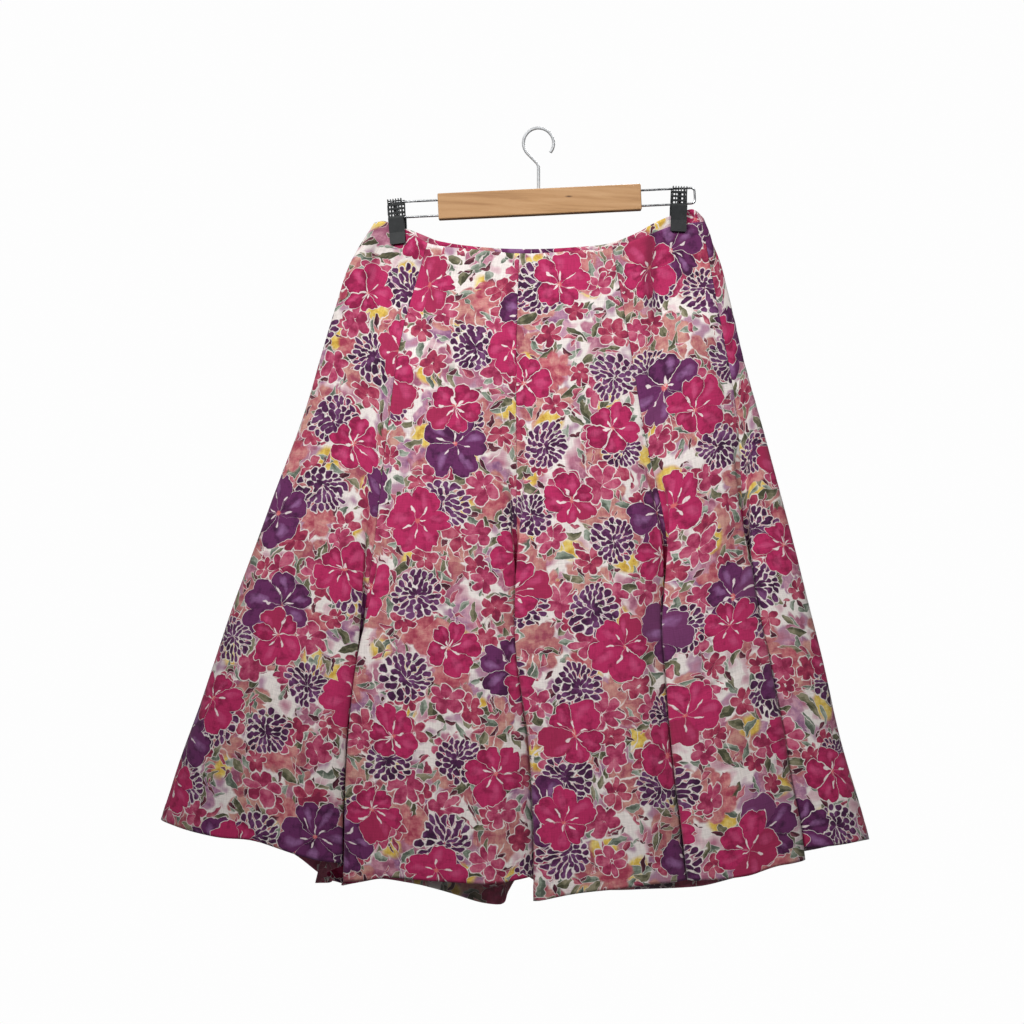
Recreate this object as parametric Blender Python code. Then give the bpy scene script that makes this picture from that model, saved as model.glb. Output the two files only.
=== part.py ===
"""An A-line skirt of eight flared gores, hung by its waist from a wooden hanger with two clips.

Units are metres and +Z is up.  The origin is where a rail would carry the hook.  The front of the
skirt looks along -Y and the wearer's left is on +X.  Sizes below are millimetres times MM.
"""

import math
from collections import namedtuple

import bmesh
import bpy
import numpy as np
from mathutils import Matrix, Vector

MM = 0.001
FIT_GAP = 0.3 * MM  # between pieces that touch or are sewn together

# ---------------------------------------------------------------- cloth sizes
CLOTH = 1.6 * MM
FACING_CLOTH = 1.0 * MM
FACING_LEVELS = 4  # rows of LEVELS from the waist edge down
FACING_FROM_FOLD = 9 * MM  # it ends short of both side folds
SKIRT_LENGTH = 730 * MM  # along a seam, from the waist edge to the hem
PINCH_HALF_GAP = 1.8 * MM  # middle of the cloth to the middle plane, where a clip holds it
FRONT, BACK = -1, 1

# Plan of the skirt at a share of the way down: its two side folds, and how far the front and the
# back stand off the middle plane, in mm.
Section = namedtuple("Section", "down left_x right_x front back")
SECTIONS = (
    Section(0.00, -191, 192, 16, 9),
    Section(0.07, -219, 208, 24, 15),
    Section(0.14, -234, 220, 31, 21),
    Section(0.30, -264, 248, 41, 30),
    Section(0.47, -306, 280, 50, 39),
    Section(0.64, -351, 312, 57, 47),
    Section(0.80, -390, 338, 63, 54),
    Section(1.00, -434, 375, 69, 61),
)
LENS_WAIST = 2.5  # how square the plan is: a lens whose ends are round folds
LENS_END = 0.6

# Upper edge of the cloth, in mm: it sags between the two clips and the front dips lower.
Edge = namedtuple("Edge", "x front_z back_z")
WAIST_EDGE = (
    Edge(-191, -108, -108),
    Edge(-180, -105, -104),
    Edge(-163, -111, -111),
    Edge(-150, -117, -115),
    Edge(-127, -132, -124),
    Edge(-105, -137, -129),
    Edge(-75, -140, -133),
    Edge(-22, -145, -136),
    Edge(40, -142, -134),
    Edge(84, -138, -129),
    Edge(115, -127, -117),
    Edge(145, -114, -102),
    Edge(162, -109, -96),
    Edge(180, -107, -92),
    Edge(194, -106, -106),
)

# The seams, each at the bottom of a fold that opens towards the hem.  x is the fold's mouth at each
# of SEAM_LEVELS; depth, spread and lean shape its pocket at the hem; mouth is its width there before
# its lips are rounded, which opens it by 4 to 8; the three hem columns are the hem's height on the
# lip before the seam, in the pocket and on the lip after it.  All in mm.
SEAM_LEVELS = (0.00, 0.12, 0.30, 0.45, 0.60, 0.80, 1.00)
Seam = namedtuple("Seam", "side x starts depth spread lean mouth before inside after")
SEAMS = (
    Seam(FRONT, (-127, -152, -172, -184, -198, -213, -217), 0.38, 36, 24, -8, -4, -832, -863, -852),
    Seam(FRONT, (-22, -25, -26, -27, -23, -8, -3), 0.24, 40, 14, 8, -2, -844, -862, -873),
    Seam(FRONT, (84, 99, 120, 143, 145, 155, 171), 0.26, 44, 20, 8, -2, -850, -862, -851),
    Seam(FRONT, (188, 203, 226, 235, 245, 274, 297), 0.28, 47, 16, 6, -1, -832, -832, -819),
    Seam(BACK, (111, 135, 160, 184, 206, 236, 262), 0.34, 36, 16, 0, 9, -845, -852, -862),
    Seam(BACK, (25, 18, 11, 3, -5, -12, -20), 0.26, 40, 14, 0, 44, -880, -858, -906),
    Seam(BACK, (-61, -86, -114, -139, -165, -203, -240), 0.34, 36, 18, 6, 12, -880, -866, -877),
    Seam(BACK, (-148, -179, -214, -247, -280, -332, -385), 0.44, 12, 8, 0, 14, -813, -806, -792),
)
MOUTH_AT_WAIST = 30  # width of cloth beside a seam that turns into its fold lower down

# The gores: gore i runs from seam i - 1 to seam i, so the first one wraps the left side.  bulge is
# how far its flute stands out at the hem, and hem is the hem's height at each eighth of the way
# across its face, in mm.
Gore = namedtuple("Gore", "name bulge hem")
GORES = (
    Gore("gore_front_left_side", 8, (-791, -793, -800, -806, -805, -816, -828)),
    Gore("gore_front_left", 13, (-848, -843, -845, -847, -849, -851, -848)),
    Gore("gore_front_right", 13, (-866, -861, -858, -856, -853, -851, -851)),
    Gore("gore_front_right_side", 10, (-849, -848, -846, -844, -839, -835, -834)),
    Gore("gore_back_right_side", 8, (-818, -816, -813, -820, -829, -836, -840)),
    Gore("gore_back_right", 13, (-874, -884, -887, -889, -891, -890, -885)),
    Gore("gore_back_left", 12, (-904, -898, -891, -885, -880, -875, -878)),
    Gore("gore_back_left_side", 10, (-864, -850, -839, -828, -824, -821, -817)),
)

# Points across a gore: seam, pocket, lip, face, lip, pocket, seam.
POCKET_STEPS, WALL_STEPS, FACE_STEPS = 4, 6, 28
GORE_STEPS = 2 * (POCKET_STEPS + WALL_STEPS) + FACE_STEPS
ROUNDING_PASSES = 2
RING_POINTS = 720

# Which of those points and which levels the solids keep; the two side gores also turn a side fold.
COLUMNS = (0, 4, 7, 10, 12, 16, 20, 24, 28, 32, 36, 38, 41, 44, 48)
SIDE_COLUMNS = (0, 4, 7, 10, 12, 15, 18, 20, 22, 24, 26, 28, 30, 33, 36, 38, 41, 44, 48)
SIDE_GORES = (0, 4)
LEVELS = (
    0.0, 0.017, 0.034, 0.06, 0.10, 0.15, 0.21, 0.28, 0.36,
    0.44, 0.52, 0.60, 0.68, 0.76, 0.84, 0.92, 1.0,
)  # fmt: skip

# ---------------------------------------------------------------- hanger sizes
BAR_LENGTH, BAR_THICK, BAR_HEIGHT = 233.4 * MM, 13 * MM, 29.6 * MM
BAR_CENTRE = Vector((1.2 * MM, 0, -83.6 * MM))
BAR_TILT = math.radians(-2.75)  # about +Y: the right end hangs higher
BAR_ROUND = 1.2 * MM

WIRE_RADIUS = 1.25 * MM
WIRE_UPPER, WIRE_LOWER = 8.0 * MM, -9.9 * MM  # heights in the bar's own frame
WIRE_ENDS = {"right": 178.6 * MM, "left": -174.0 * MM}
WIRE_IN_BAR = 9.7 * MM
WIRE_BEND = 4 * MM

HOOK_RADIUS = 1.8 * MM
CROOK_RADIUS = 17.4 * MM  # to the wire's centre
CROOK_START, CROOK_END = math.radians(225), math.radians(-38)
STEM_BEND = 9 * MM
STEM_IN_BAR = 17 * MM

CLIP_WIDTH, CLIP_HEIGHT, JAW_THICK = 18.4 * MM, 51.4 * MM, 2.2 * MM
HANDLE_WIDTH = 16.8 * MM  # above the pivot
JAW_GRIP = PINCH_HALF_GAP + CLOTH / 2 + FIT_GAP  # inner face of a jaw where it holds the cloth
GRIP_HEIGHT, PIVOT_HEIGHT = 13 * MM, 31.4 * MM
JAW_AT_PIVOT, JAW_AT_TOP = 4.2 * MM, 5.5 * MM
JAW_CORNER = 1.5 * MM  # radius of the foot's corners
SADDLE_LUG_IN = 0.6 * MM  # how far the saddle runs into its jaw

# Holes in the handles: a grid whose top row is open, like a comb, and long slots in the back one.
# rows are the heights of their middles, in mm.
Grid = namedtuple("Grid", "columns pitch_x hole_x hole_z rows")
FRONT_GRID = Grid(5, 3.1 * MM, 2.2 * MM, 2.5 * MM, (32.9, 37.7, 42.4, 47.2, 50.7))
BACK_GRID = Grid(1, 0, 14.6 * MM, 2.6 * MM, (35.0, 39.8, 44.5, 49.3))
SADDLE_WIDTH, SADDLE_HEIGHT, SADDLE_REACH = 6 * MM, 4 * MM, 2.35 * MM
SPRING_WIDTH, SPRING_THICK, SPRING_TOP, SPRING_FOOT = 3.0 * MM, 0.8 * MM, 46 * MM, 33.7 * MM

# Where each clip's foot is, how it turns about its length (yaw) and how it leans in its own plane.
Clip = namedtuple("Clip", "side foot_x foot_z yaw lean")
CLIPS = (
    Clip("left", -160.4 * MM, -132.0 * MM, math.radians(-14), math.radians(-4.0)),
    Clip("right", 160.1 * MM, -117.8 * MM, math.radians(4), math.radians(1.8)),
)
PINCH_HALF_WIDTH, PINCH_FADE_X = 24 * MM, 18 * MM
PINCH_HEIGHT, PINCH_FADE_Z = 30 * MM, 120 * MM
PINCH_TURNED = 16 * MM  # the cloth follows the jaws' turn this far from their middle

# ---------------------------------------------------------------- colours
COLOURS = {
    "printed_cloth": ((0.42, 0.08, 0.20, 1), 0.85, 0.0),
    "beech": ((0.55, 0.33, 0.18, 1), 0.55, 0.0),
    "steel_wire": ((0.60, 0.60, 0.62, 1), 0.25, 1.0),
    "black_plastic": ((0.03, 0.03, 0.035, 1), 0.5, 0.0),
}


# ---------------------------------------------------------------- cloth surface
def through(knots, values, at):
    """A smooth curve through table values: cubic between rows, with the slopes of the rows beside."""
    knots, values = np.asarray(knots, float), np.asarray(values, float)
    slopes = np.gradient(values, knots)
    row = np.clip(np.searchsorted(knots, at, side="right") - 1, 0, len(knots) - 2)
    step = knots[row + 1] - knots[row]
    t = (np.asarray(at, float) - knots[row]) / step
    start = (2 * t**3 - 3 * t**2 + 1) * values[row] + (t**3 - 2 * t**2 + t) * step * slopes[row]
    end = (3 * t**2 - 2 * t**3) * values[row + 1] + (t**3 - t**2) * step * slopes[row + 1]
    return start + end


def fade(distance, reach):
    """1 at no distance, falling smoothly to 0 at reach."""
    t = np.clip(distance / reach, 0, 1)
    return 1 - t * t * (3 - 2 * t)


def foot_y(clip):
    """Depth of a clip's foot, such that its pivot sits on the wire at Y = 0."""
    return -PIVOT_HEIGHT * math.sin(clip.lean) * math.sin(clip.yaw)


def pinch_at(x, below_edge):
    """How hard the clips press front and back together (0 to 1), and the yawed line they hold."""
    hold, line = np.zeros_like(x), np.zeros_like(x)
    height = fade(max(below_edge - PINCH_HEIGHT, 0), PINCH_FADE_Z)
    for clip in CLIPS:
        off = x - clip.foot_x
        one = fade(np.maximum(np.abs(off) - PINCH_HALF_WIDTH, 0), PINCH_FADE_X) * height
        hold += one
        line += one * (foot_y(clip) + math.tan(clip.yaw) * np.clip(off, -PINCH_TURNED, PINCH_TURNED))
    return hold, line


def plan_ring(down):
    """The skirt's plan with no folds: x, y and length along it, from the left fold by the front."""
    columns = [[getattr(s, name) for s in SECTIONS] for name in Section._fields]
    left, right, front, back = (through(columns[0], c, down) * MM for c in columns[1:])
    turn = np.linspace(0, 2 * math.pi, RING_POINTS + 1)
    across = -np.cos(turn)
    side = np.where(turn < math.pi, FRONT, BACK)
    stand_off = np.where(side == FRONT, front, back)
    lens = np.maximum(1 - np.abs(across) ** LENS_WAIST, 0) ** LENS_END
    x = (left + right) / 2 + (right - left) / 2 * across
    hold, line = pinch_at(x, down * SKIRT_LENGTH)
    y = side * (stand_off * lens * (1 - hold) + PINCH_HALF_GAP * hold) + line
    length = np.concatenate([[0], np.cumsum(np.hypot(np.diff(x), np.diff(y)))])
    return x, y, length


def on_ring(ring, at):
    """Points of a plan ring at lengths along it, and the outward directions there."""
    x, y, length = ring
    around = length[-1]
    at = np.mod(at, around)
    point = np.stack([np.interp(at, length, x), np.interp(at, length, y)], -1)
    reach = 4 * MM
    ahead, behind = np.mod(at + reach, around), np.mod(at - reach, around)
    along = np.stack(
        [np.interp(ahead, length, c) - np.interp(behind, length, c) for c in (x, y)], -1
    )
    along /= np.linalg.norm(along, axis=-1, keepdims=True)
    return point, np.stack([along[..., 1], -along[..., 0]], -1)


def seam_place(ring, seam, down):
    """Length along the ring where a seam's fold opens."""
    x, _, length = ring
    half = RING_POINTS // 2
    target = through(SEAM_LEVELS, seam.x, down) * MM
    if seam.side == FRONT:
        return np.interp(target, x[: half + 1], length[: half + 1])
    return np.interp(target, x[half:][::-1], length[half:][::-1])


def fold_of(ring, seam, down):
    """The mouth's place and half width, and the pocket's three corners: before, bottom, after."""
    place = seam_place(ring, seam, down)
    grown = np.clip((down - seam.starts) / (1 - seam.starts), 0, 1)
    depth = seam.depth * MM * math.sin(math.pi / 2 * grown) ** 1.4
    open_share = fade(grown, 0.5)
    half_mouth = (seam.mouth + (MOUTH_AT_WAIST - seam.mouth) * open_share) / 2 * MM
    spread = half_mouth / 2 + (seam.spread * MM - half_mouth / 2) * (1 - fade(grown, 1))
    (middle,), (outward,) = on_ring(ring, np.array([place]))
    ends, _ = on_ring(ring, np.array([place - spread, place + spread]))
    along = np.array([-outward[1], outward[0]])
    inward = (along * seam.lean / seam.depth - outward) * depth
    along = along * spread
    share = fade(grown, 0.15)  # the pocket's corners lie on the plan until the fold starts
    before = ends[0] * share + (middle + inward - along) * (1 - share)
    after = ends[1] * share + (middle + inward + along) * (1 - share)
    return place, half_mouth, (before, middle + inward * 1.05, after)


def straight(start, end, steps):
    """Evenly spaced points from start up to, but not, end."""
    share = (np.arange(steps) / steps)[:, None]
    return start + (end - start) * share


def section(down):
    """The whole plan of the cloth's middle at one level, folds included: gore by gore."""
    ring = plan_ring(down)
    around = ring[2][-1]
    folds = [fold_of(ring, seam, down) for seam in SEAMS]
    rows = []
    for i, gore in enumerate(GORES):
        start, half_start, pocket_start = folds[i - 1]
        end, half_end, pocket_end = folds[i]
        if i == 0:
            start -= around
        at = np.linspace(start + half_start, end - half_end, FACE_STEPS + 1)
        face, outward = on_ring(ring, at)
        flute = np.sin(np.linspace(0, math.pi, FACE_STEPS + 1)) ** 0.8
        face = face + outward * (gore.bulge * MM * down**1.2 * flute)[:, None]
        rows += [
            straight(pocket_start[1], pocket_start[2], POCKET_STEPS),
            straight(pocket_start[2], face[0], WALL_STEPS),
            face[:-1],
            straight(face[-1], pocket_end[0], WALL_STEPS),
            straight(pocket_end[0], pocket_end[1], POCKET_STEPS),
        ]
    return rounded(np.concatenate(rows))


def rounded(points):
    """Points of a closed row with their corners rounded: each is averaged with its neighbours."""
    for _ in range(ROUNDING_PASSES):
        points = (np.roll(points, 1, 0) + 2 * points + np.roll(points, -1, 0)) / 4
    return points


def hem_heights():
    """Height of the hem at every point round the skirt."""
    knots, heights = [], []
    lip = POCKET_STEPS + WALL_STEPS
    for i, gore in enumerate(GORES):
        face = np.linspace(lip, GORE_STEPS - lip, len(gore.hem) + 2)
        knots += [i * GORE_STEPS, *(i * GORE_STEPS + face)]
        heights += [SEAMS[i - 1].inside, SEAMS[i - 1].after, *gore.hem, SEAMS[i].before]
    knots.append(len(GORES) * GORE_STEPS)
    heights.append(heights[0])
    heights = np.interp(np.arange(len(GORES) * GORE_STEPS), knots, heights) * MM
    return rounded(heights)


def waist_heights(row):
    """Height of the waist edge at every point of the top row."""
    x, front, back = (np.array([getattr(e, name) for e in WAIST_EDGE]) for name in Edge._fields)
    left, right = np.argmin(row[:, 0]), np.argmax(row[:, 0])
    on_front = (np.arange(len(row)) - left) % len(row) < (right - left) % len(row)
    at = np.clip(row[:, 0] / MM, x[0], x[-1])
    return rounded(np.where(on_front, through(x, front, at), through(x, back, at)) * MM)


def skirt_surface(levels):
    """Middle of the cloth as an array (level, point round the skirt, xyz), and outward normals."""
    plans = np.stack([section(down) for down in levels])
    top, hem = waist_heights(plans[0]), hem_heights()
    share = np.asarray(levels)[:, None]
    points = np.concatenate([plans, (top + (hem - top) * share)[..., None]], -1)
    around = np.roll(points, -1, 1) - np.roll(points, 1, 1)
    down = np.gradient(points, np.asarray(levels), axis=0)
    normals = np.cross(down, around)
    return points, normals / np.linalg.norm(normals, axis=-1, keepdims=True)


# ---------------------------------------------------------------- mesh helpers
def material(name):
    """The Principled material of one of COLOURS."""
    found = bpy.data.materials.get(name)
    if found:
        return found
    colour, roughness, metallic = COLOURS[name]
    made = bpy.data.materials.new(name)
    made.use_nodes = True
    shader = made.node_tree.nodes["Principled BSDF"]
    shader.inputs["Base Color"].default_value = colour
    shader.inputs["Roughness"].default_value = roughness
    shader.inputs["Metallic"].default_value = metallic
    made.diffuse_color = colour
    return made


def add_mesh(name, vertices, faces, finish, smooth=True):
    """An object of these vertices and faces, with its normals made consistent."""
    mesh = bpy.data.meshes.new(name)
    mesh.from_pydata([tuple(v) for v in vertices], [], [tuple(f) for f in faces])
    shape = bmesh.new()
    shape.from_mesh(mesh)
    bmesh.ops.recalc_face_normals(shape, faces=shape.faces)
    shape.to_mesh(mesh)
    shape.free()
    if smooth:
        mesh.shade_smooth()
        mesh.set_sharp_from_angle(angle=math.radians(40))
    made = bpy.data.objects.new(name, mesh)
    made.data.materials.append(material(finish))
    bpy.context.scene.collection.objects.link(made)
    return made


def wall(name, middle, normals, thickness, finish, outset=0.0):
    """A sheet of cloth: a grid of middle points thickened along their normals and closed round."""
    rows, columns = middle.shape[:2]
    outer = middle + normals * (outset + thickness / 2)
    inner = middle + normals * (outset - thickness / 2)
    vertices = np.concatenate([outer.reshape(-1, 3), inner.reshape(-1, 3)])
    at = np.arange(rows * columns).reshape(rows, columns)
    corners = (at[:-1, :-1], at[1:, :-1], at[1:, 1:], at[:-1, 1:])
    halves = [np.stack([corners[0], corners[k], corners[k + 1]], -1) for k in (1, 2)]
    triangles = np.concatenate([half.reshape(-1, 3) for half in halves])
    rim = np.concatenate([at[0], at[1:, -1], at[-1, -2::-1], at[-2:0:-1, 0]])
    after = np.roll(rim, -1)
    shift = rows * columns
    faces = [*triangles, *(triangles[:, ::-1] + shift)]
    faces += list(np.stack([rim, after, after + shift, rim + shift], -1))
    return add_mesh(name, vertices, faces, finish)


def parted(grid):
    """A panel's points with both side edges drawn back by half the gap that a seam leaves."""
    grid = grid.copy()
    for edge, beside in ((0, 1), (-1, -2)):
        step = grid[:, beside] - grid[:, edge]
        grid[:, edge] += step / np.linalg.norm(step, axis=-1, keepdims=True) * FIT_GAP / 2
    return grid


# ---------------------------------------------------------------- cloth pieces
def gore_columns(i):
    """Which points round the skirt gore i keeps."""
    kept = SIDE_COLUMNS if i % len(GORES) in SIDE_GORES else COLUMNS
    return (np.array(kept) + i * GORE_STEPS) % (len(GORES) * GORE_STEPS)


def build_gores(points, normals):
    """The eight panels of the skirt, each from its seam to the next."""
    for i, gore in enumerate(GORES):
        columns = gore_columns(i)
        wall(gore.name, parted(points[:, columns]), normals[:, columns], CLOTH, "printed_cloth")


def build_facing(points, normals):
    """The facing inside the back waist: the back gores' own points, moved inwards."""
    columns = np.concatenate([gore_columns(i)[:-1] for i in (4, 5, 6, 7, 8)])
    x = points[0, :, 0]
    inside = (x[columns] < x.max() - FACING_FROM_FOLD) & (x[columns] > x.min() + FACING_FROM_FOLD)
    on_back = (columns > np.argmax(x)) | (columns < np.argmin(x))
    columns = columns[inside & on_back]
    middle, out = (grid[:FACING_LEVELS, columns] for grid in (points, normals))
    inwards = -(CLOTH / 2 + FIT_GAP + FACING_CLOTH / 2)
    wall("waist_facing_back", middle, out, FACING_CLOTH, "printed_cloth", inwards)


# ---------------------------------------------------------------- hanger pieces
def bar_frame():
    """From the bar's own frame, with X along it, to the skirt's."""
    return Matrix.Translation(BAR_CENTRE) @ Matrix.Rotation(BAR_TILT, 4, "Y")


def add_cutter(name, radius, length, placed):
    """A round cutter along its own Z, left out of the object itself."""
    bpy.ops.mesh.primitive_cylinder_add(vertices=12, radius=radius, depth=length)
    cutter = bpy.context.object
    cutter.name = name
    cutter.matrix_world = placed
    cutter.hide_render = True
    cutter.display_type = "WIRE"
    return cutter


def subtract(target, cutter):
    """Cuts cutter out of target."""
    cut = target.modifiers.new(cutter.name, "BOOLEAN")
    cut.operation = "DIFFERENCE"
    cut.object = cutter


def build_bar():
    """The wooden bar, drilled for the hook's stem and for the ends of both wire loops."""
    bpy.ops.mesh.primitive_cube_add(size=1)
    bar = bpy.context.object
    bar.name = "hanger_bar"
    bar.data.transform(Matrix.Diagonal((BAR_LENGTH, BAR_THICK, BAR_HEIGHT, 1)))
    bar.matrix_world = bar_frame()
    bar.data.materials.append(material("beech"))
    edges = bar.modifiers.new("rounded_edges", "BEVEL")
    edges.width = BAR_ROUND
    edges.segments = 2
    spare = 5 * MM
    for side, sign in (("right", 1), ("left", -1)):
        for height in (WIRE_UPPER, WIRE_LOWER):
            length = WIRE_IN_BAR + FIT_GAP + spare
            middle = sign * (BAR_LENGTH / 2 + spare - length / 2)
            turned = Matrix.Rotation(math.pi / 2, 4, "Y")
            placed = bar_frame() @ Matrix.Translation((middle, 0, height)) @ turned
            subtract(bar, add_cutter(f"drill_{side}", WIRE_RADIUS + 0.35 * MM, length, placed))
    foot = stem_foot() - FIT_GAP
    top = BAR_CENTRE.z + BAR_HEIGHT / 2 + spare
    placed = Matrix.Translation((0, 0, (foot + top) / 2))
    subtract(bar, add_cutter("drill_stem", HOOK_RADIUS + 0.35 * MM, top - foot, placed))


def stem_foot():
    """Height of the lower end of the hook's stem, inside the bar."""
    return BAR_CENTRE.z + BAR_HEIGHT / 2 - STEM_IN_BAR


def arc(centre, radius, start, end, steps):
    """Points of an arc in the XZ plane."""
    turn = np.linspace(start, end, steps + 1)
    return [(centre[0] + radius * math.cos(a), centre[1] + radius * math.sin(a)) for a in turn]


def add_wire(name, path, radius, frame):
    """A round wire through XZ points in the plane Y = 0 of a frame."""
    curve = bpy.data.curves.new(name, "CURVE")
    curve.dimensions = "3D"
    curve.bevel_depth = radius
    curve.bevel_resolution = 3
    curve.use_fill_caps = True
    spline = curve.splines.new("POLY")
    spline.points.add(len(path) - 1)
    for point, (x, z) in zip(spline.points, path):
        point.co = (x, 0, z, 1)
    made = bpy.data.objects.new(name, curve)
    made.matrix_world = frame
    made.data.materials.append(material("steel_wire"))
    bpy.context.scene.collection.objects.link(made)


def build_hook():
    """The hook: a stem that rises from the bar, bends aside and turns over in a round crook."""
    centre = (0, -(CROOK_RADIUS - HOOK_RADIUS))
    crook = arc(centre, CROOK_RADIUS, CROOK_START, CROOK_END, 22)
    corner_z = centre[1] - CROOK_RADIUS * math.sqrt(2)
    turn = math.pi / 4  # the slanting run leaves the stem at this angle
    reach = STEM_BEND * math.tan(turn / 2)
    bend = arc((-STEM_BEND, corner_z - reach), STEM_BEND, 0, turn, 4)
    add_wire("hook", [(0, stem_foot()), *bend, *crook], HOOK_RADIUS, Matrix.Identity(4))


def build_wire_loops():
    """The two flattened wire loops that slide the clips, each with both ends in the bar."""
    for side, end in WIRE_ENDS.items():
        sign = 1 if end > 0 else -1
        root = sign * (BAR_LENGTH / 2 - WIRE_IN_BAR)
        bend_x = abs(end) - WIRE_BEND
        upper = arc((bend_x, WIRE_UPPER - WIRE_BEND), WIRE_BEND, math.pi / 2, 0, 4)
        lower = arc((bend_x, WIRE_LOWER + WIRE_BEND), WIRE_BEND, 0, -math.pi / 2, 4)
        turned = [(sign * x, z) for x, z in upper + lower]
        path = [(root, WIRE_UPPER), *turned, (root, WIRE_LOWER)]
        add_wire(f"wire_loop_{side}", path, WIRE_RADIUS, bar_frame())


def extruded(name, profile, width, finish):
    """A solid whose YZ profile runs width along X."""
    count = len(profile)
    half = width / 2
    vertices = [(x, y, z) for x in (-half, half) for y, z in profile]
    sides = [(i, (i + 1) % count, (i + 1) % count + count, i + count) for i in range(count)]
    caps = [tuple(range(count)), tuple(range(2 * count - 1, count - 1, -1))]
    return add_mesh(name, vertices, sides + caps, finish, smooth=False)


def jaw_profile():
    """Front jaw from the side: flat where it holds the cloth, leaning out above its pivot."""
    inner = [
        (-JAW_GRIP, 0),
        (-JAW_GRIP, GRIP_HEIGHT),
        (-JAW_AT_PIVOT, PIVOT_HEIGHT - SADDLE_HEIGHT / 2),
        (-SADDLE_REACH, PIVOT_HEIGHT - SADDLE_HEIGHT / 2),
        (-SADDLE_REACH, PIVOT_HEIGHT + SADDLE_HEIGHT / 2),
        (-JAW_AT_PIVOT, PIVOT_HEIGHT + SADDLE_HEIGHT / 2),
        (-JAW_AT_TOP, CLIP_HEIGHT),
    ]
    saddle = inner[2:6]
    plate = inner[:2] + [inner[2], inner[5]] + inner[6:]
    outer = [(y - JAW_THICK, z) for y, z in reversed(plate)]
    return plate + outer, saddle


def shape_jaw(mesh):
    """Narrows a jaw above its pivot and rounds the two corners of its foot."""
    shape = bmesh.new()
    shape.from_mesh(mesh)
    for vertex in shape.verts:
        if vertex.co.z > PIVOT_HEIGHT:
            vertex.co.x *= HANDLE_WIDTH / CLIP_WIDTH
    corners = [
        edge
        for edge in shape.edges
        if all(v.co.z == 0 for v in edge.verts) and edge.verts[0].co.x == edge.verts[1].co.x
    ]
    bmesh.ops.bevel(shape, geom=corners, offset=JAW_CORNER, segments=3, profile=0.5, affect="EDGES")
    shape.to_mesh(mesh)
    shape.free()


def grid_cutter(name, facing, grid):
    """A mesh with one block for each hole of a handle."""
    holes = bmesh.new()
    depth = 2 * JAW_AT_TOP
    for column in range(grid.columns):
        for row in grid.rows:
            x = (column - (grid.columns - 1) / 2) * grid.pitch_x
            place = Vector((x, facing * (JAW_GRIP + depth / 2), row * MM))
            size = Matrix.Diagonal((grid.hole_x, depth, grid.hole_z, 1))
            bmesh.ops.create_cube(holes, size=1, matrix=Matrix.Translation(place) @ size)
    mesh = bpy.data.meshes.new(name)
    holes.to_mesh(mesh)
    holes.free()
    cutter = bpy.data.objects.new(name, mesh)
    bpy.context.scene.collection.objects.link(cutter)
    return cutter


def build_jaw(name, facing, frame):
    """One jaw of a clip: the plate, the saddle that takes the wire, and the grid of holes."""
    plate, saddle = jaw_profile()
    jaw = extruded(name, [(-facing * y, z) for y, z in plate], CLIP_WIDTH, "black_plastic")
    shape_jaw(jaw.data)
    inner_corners = (0, 3)
    lug = [
        (-facing * (y - (SADDLE_LUG_IN if i in inner_corners else 0)), z)
        for i, (y, z) in enumerate(saddle)
    ]
    boss = extruded(f"{name}_boss", lug, SADDLE_WIDTH, "black_plastic")
    grid = grid_cutter(f"{name}_grid", facing, FRONT_GRID if facing == FRONT else BACK_GRID)
    for helper in (boss, grid):
        helper.matrix_world = frame
        helper.hide_render = True
        helper.display_type = "WIRE"
    jaw.matrix_world = frame
    join = jaw.modifiers.new("saddle", "BOOLEAN")
    join.operation = "UNION"
    join.object = boss
    subtract(jaw, grid)


def build_spring(name, frame):
    """The bent strip between the handles that presses the jaws shut."""
    handle_y = JAW_AT_PIVOT + (JAW_AT_TOP - JAW_AT_PIVOT) * (
        (SPRING_TOP - PIVOT_HEIGHT - SADDLE_HEIGHT / 2)
        / (CLIP_HEIGHT - PIVOT_HEIGHT - SADDLE_HEIGHT / 2)
    )
    tip = handle_y - FIT_GAP
    shoulder = 2.6 * MM
    outer = [(-tip, SPRING_TOP), (-shoulder, SPRING_FOOT + 1.6 * MM), (-1 * MM, SPRING_FOOT)]
    inner = [(y + SPRING_THICK * math.copysign(1, -y), z) for y, z in outer[:2]]
    inner.append((-0.7 * MM, SPRING_FOOT + SPRING_THICK))
    left = outer + [(-y, z) for y, z in reversed(outer)]
    right = inner + [(-y, z) for y, z in reversed(inner)]
    spring = extruded(name, left + right[::-1], SPRING_WIDTH, "steel_wire")
    spring.matrix_world = frame


def build_clips():
    """Both clips, each turned and leaned as the cloth pulls it."""
    for clip in CLIPS:
        yaw, lean = Matrix.Rotation(clip.yaw, 4, "Z"), Matrix.Rotation(clip.lean, 4, "Y")
        frame = Matrix.Translation((clip.foot_x, foot_y(clip), clip.foot_z)) @ yaw @ lean
        build_jaw(f"clip_{clip.side}_front_jaw", FRONT, frame)
        build_jaw(f"clip_{clip.side}_back_jaw", BACK, frame)
        build_spring(f"clip_{clip.side}_spring", frame)


def main():
    """Clears the scene and builds the skirt and its hanger."""
    for old in list(bpy.data.objects):
        bpy.data.objects.remove(old)
    points, normals = skirt_surface(LEVELS)
    build_gores(points, normals)
    build_facing(points, normals)
    build_bar()
    build_hook()
    build_wire_loops()
    build_clips()


main()
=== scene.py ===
"""The looks of an A-line skirt of printed linen and cotton that hangs from a wooden clip hanger.

The cloth is worked out from the same plan and seams as its solids, on a finer grid, with creases,
seam puckers and a floral print.  The hanger keeps its solids and gets their real finishes.
Lengths are metres, tables are millimetres, +Z is up and the front looks along -Y.
"""

import math
from collections import namedtuple

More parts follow.
